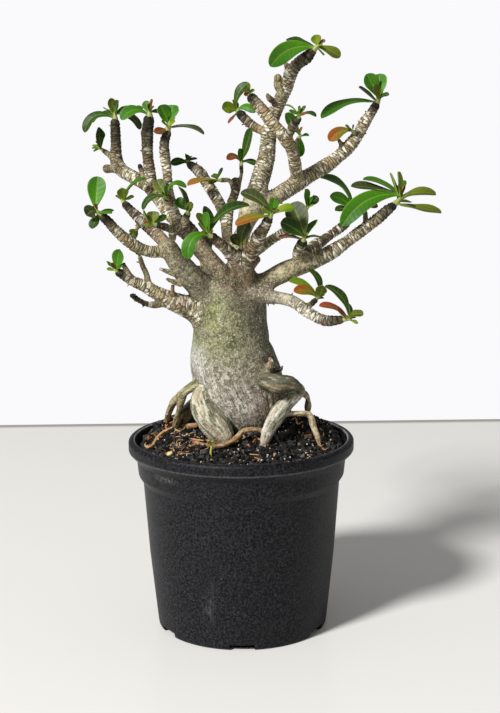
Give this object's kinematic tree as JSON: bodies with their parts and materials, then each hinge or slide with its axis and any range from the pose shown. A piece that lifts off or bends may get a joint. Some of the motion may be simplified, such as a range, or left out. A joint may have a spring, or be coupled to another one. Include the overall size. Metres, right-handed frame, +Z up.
{
  "type": "potted desert rose adenium",
  "caption": "Desert rose with a swollen trunk, bare roots and branching limbs tipped with leaves, growing in a round plastic pot of bark and grit.",
  "frame": {"origin": "middle of the pot's underside, on the surface that the pot stands on", "axes": "+Z up along the pot's axis, -Y towards the side first seen, +X to its right"},
  "size_m": [0.1725, 0.11, 0.2866],
  "materials": {
    "pot": "fine-grained matte",
    "soil": "rough bark chips and grit",
    "bark": "smooth skin with ringed leaf scars",
    "leaf": "glossy leaf"
  },
  "bodies": {
    "root": {"pot": "pot", "soil": "soil", "trunk_and_limbs": "bark", "leaves_back": "leaf", "leaves_backTwig": "leaf", "leaves_backMid": "leaf", "leaves_forkUp": "leaf", "leaves_leftLow": "leaf", "leaves_leftHigh": "leaf", "leaves_leftHighTwig": "leaf", "leaves_lowLeft": "leaf", "leaves_lowLeftShoot": "leaf", "leaves_leftFront": "leaf", "leaves_forkSpurA": "leaf", "leaves_forkSpurB": "leaf", "leaves_centreLeft": "leaf", "leaves_innerBack": "leaf", "leaves_innerLeft": "leaf", "leaves_innerRight": "leaf", "leaves_mainSide": "leaf", "leaves_inward": "leaf", "leaves_main": "leaf", "leaves_inwardTwig": "leaf", "leaves_inwardSpur": "leaf", "leaves_crossing": "leaf", "leaves_crossingSpur": "leaf", "leaves_lowRight": "leaf", "leaves_lowRightBack": "leaf", "leaves_lowRightSpur": "leaf", "leaves_lowRightUp": "leaf", "leaves_right": "leaf", "leaves_centreFront": "leaf", "leaves_centreSpur": "leaf", "leaves_underRight": "leaf", "leaves_underRightUp": "leaf", "leaves_hidden": "leaf"}
  },
  "joints": []
}
